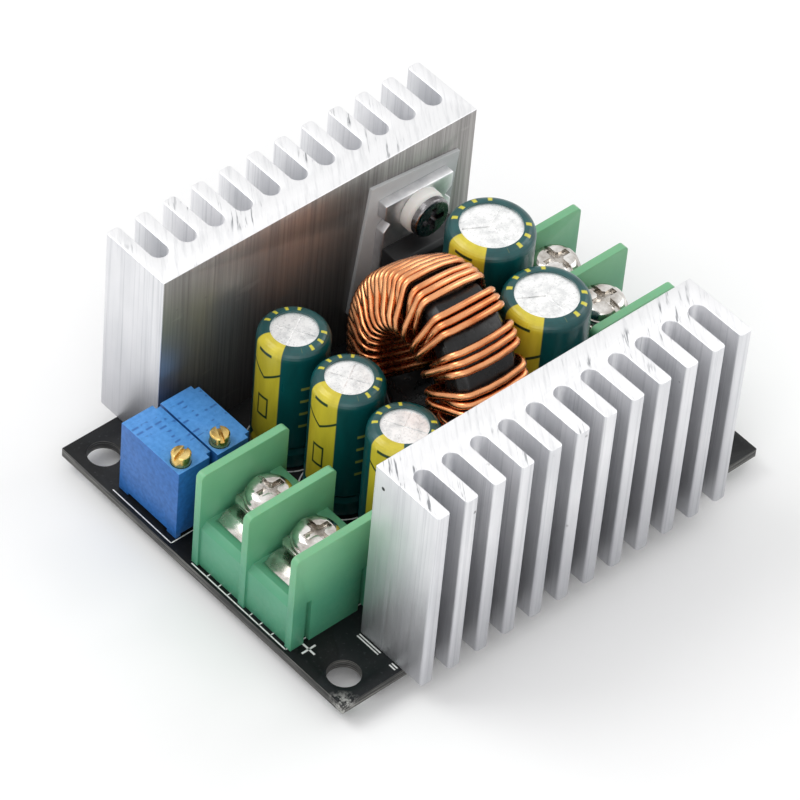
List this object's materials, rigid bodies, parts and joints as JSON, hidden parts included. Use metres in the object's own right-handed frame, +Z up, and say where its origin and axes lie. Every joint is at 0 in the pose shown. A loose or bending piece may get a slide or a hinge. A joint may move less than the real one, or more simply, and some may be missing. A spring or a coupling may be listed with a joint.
{
  "type": "buck converter module",
  "caption": "Step-down converter board with a wound ring inductor between finned heatsinks, round capacitors, multi-turn trimmers and screw terminals at both ends.",
  "frame": {"origin": "centre of the part's bounding box at its bottom, the plane of the trimmed lead tips that the board stands on", "axes": "X runs along the board from the output terminals to the input terminals, Y across it from the front heatsink to the rear heatsink and the trimmers, Z up out of the board's top"},
  "size_m": [0.06, 0.0524, 0.0286],
  "materials": {
    "board_mask": "satin black solder mask over glass-epoxy board",
    "solder": "bright tin solder",
    "heatsink_aluminium": "plain extruded and sawn aluminium",
    "tinned_tab": "tinned copper tab",
    "black_moulding": "matt black epoxy moulding",
    "tinned_lead": "bright tinned wire",
    "grey_pad": "matt grey silicone sheet",
    "white_bushing": "matt off-white nylon",
    "black_screw": "black zinc-plated steel",
    "blue_case": "semi-gloss blue moulding",
    "brass_screw": "turned brass",
    "green_block": "semi-gloss light green moulding",
    "nickel_plate": "bright nickel plate",
    "nickel_screw": "bright nickel-plated steel",
    "capacitor_can": "satin drawn aluminium",
    "capacitor_sleeve": "glossy dark teal shrink sleeve with a yellow band",
    "rubber_seal": "matt black rubber",
    "core_coat": "black epoxy coat over pressed iron powder",
    "enamelled_copper": "enamelled copper wire",
    "chip_ceramic": "fired ceramic chips with tinned ends"
  },
  "bodies": {
    "module": {"circuit_board": "board_mask", "solder_joints": "solder", "heatsink_front": "heatsink_aluminium", "heatsink_rear": "heatsink_aluminium", "device_tab_front": "tinned_tab", "device_tab_rear": "tinned_tab", "device_case_front": "black_moulding", "device_case_rear": "black_moulding", "controller_chip": "black_moulding", "device_leads_front": "tinned_lead", "device_leads_rear": "tinned_lead", "trimmer_pins_1": "tinned_lead", "trimmer_pins_2": "tinned_lead", "insulating_pad_front": "grey_pad", "insulating_pad_rear": "grey_pad", "bushing_front": "white_bushing", "bushing_rear": "white_bushing", "device_screw_front": "black_screw", "device_screw_rear": "black_screw", "trimmer_case_1": "blue_case", "trimmer_case_2": "blue_case", "output_block": "green_block", "input_block": "green_block", "output_contacts": "nickel_plate", "input_contacts": "nickel_plate", "output_can_1": "capacitor_can", "output_can_2": "capacitor_can", "output_can_3": "capacitor_can", "input_can_1": "capacitor_can", "input_can_2": "capacitor_can", "output_sleeve_1": "capacitor_sleeve", "output_sleeve_2": "capacitor_sleeve", "output_sleeve_3": "capacitor_sleeve", "input_sleeve_1": "capacitor_sleeve", "input_sleeve_2": "capacitor_sleeve", "output_seal_1": "rubber_seal", "output_seal_2": "rubber_seal", "output_seal_3": "rubber_seal", "input_seal_1": "rubber_seal", "input_seal_2": "rubber_seal", "output_leads_1": "tinned_lead", "output_leads_2": "tinned_lead", "output_leads_3": "tinned_lead", "input_leads_1": "tinned_lead", "input_leads_2": "tinned_lead", "inductor_core": "core_coat", "inductor_winding": "enamelled_copper", "chip_resistors": "chip_ceramic", "chip_capacitors": "chip_ceramic"},
    "trimmer_screw_1": {"trimmer_screw_1": "brass_screw"},
    "trimmer_screw_2": {"trimmer_screw_2": "brass_screw"},
    "output_clamp_1": {"output_clamp_1": "nickel_plate"},
    "output_clamp_2": {"output_clamp_2": "nickel_plate"},
    "input_clamp_1": {"input_clamp_1": "nickel_plate"},
    "input_clamp_2": {"input_clamp_2": "nickel_plate"},
    "output_screw_1": {"output_screw_1": "nickel_screw"},
    "output_screw_2": {"output_screw_2": "nickel_screw"},
    "input_screw_1": {"input_screw_1": "nickel_screw"},
    "input_screw_2": {"input_screw_2": "nickel_screw"}
  },
  "joints": [
    {"name": "trimmer_1_turn", "type": "hinge", "parent": "module", "child": "trimmer_screw_1", "pos_m": [-0.0273, 0.00697, 0.0133], "axis": [0, 0, 1], "continuous": true},
    {"name": "trimmer_2_turn", "type": "hinge", "parent": "module", "child": "trimmer_screw_2", "pos_m": [-0.02222, 0.00667, 0.0133], "axis": [0, 0, 1], "continuous": true},
    {"name": "output_1_lift", "type": "slide", "parent": "module", "child": "output_clamp_1", "axis": [0, 0, 1], "range_m": [-0.0007, 0.0015]},
    {"name": "output_1_turn", "type": "hinge", "parent": "output_clamp_1", "child": "output_screw_1", "pos_m": [-0.0227, -0.00981, 0.0115], "axis": [0, 0, 1], "range_deg": [-504, 1080]},
    {"name": "output_2_lift", "type": "slide", "parent": "module", "child": "output_clamp_2", "axis": [0, 0, 1], "range_m": [-0.0007, 0.0015]},
    {"name": "output_2_turn", "type": "hinge", "parent": "output_clamp_2", "child": "output_screw_2", "pos_m": [-0.0227, -0.00219, 0.0115], "axis": [0, 0, 1], "range_deg": [-504, 1080]},
    {"name": "input_1_lift", "type": "slide", "parent": "module", "child": "input_clamp_1", "axis": [0, 0, 1], "range_m": [-0.0027, 0]},
    {"name": "input_1_turn", "type": "hinge", "parent": "input_clamp_1", "child": "input_screw_1", "pos_m": [0.0231, 0.00341, 0.0115], "axis": [0, 0, 1], "range_deg": [-1944, 0]},
    {"name": "input_2_lift", "type": "slide", "parent": "module", "child": "input_clamp_2", "axis": [0, 0, 1], "range_m": [-0.0027, 0]},
    {"name": "input_2_turn", "type": "hinge", "parent": "input_clamp_2", "child": "input_screw_2", "pos_m": [0.0231, -0.00421, 0.0115], "axis": [0, 0, 1], "range_deg": [-1944, 0]}
  ],
  "couplings": [
    {"joint": "output_1_turn", "follows": "output_1_lift", "rad_per_m": 12566},
    {"joint": "output_2_turn", "follows": "output_2_lift", "rad_per_m": 12566},
    {"joint": "input_1_turn", "follows": "input_1_lift", "rad_per_m": 12566},
    {"joint": "input_2_turn", "follows": "input_2_lift", "rad_per_m": 12566}
  ]
}
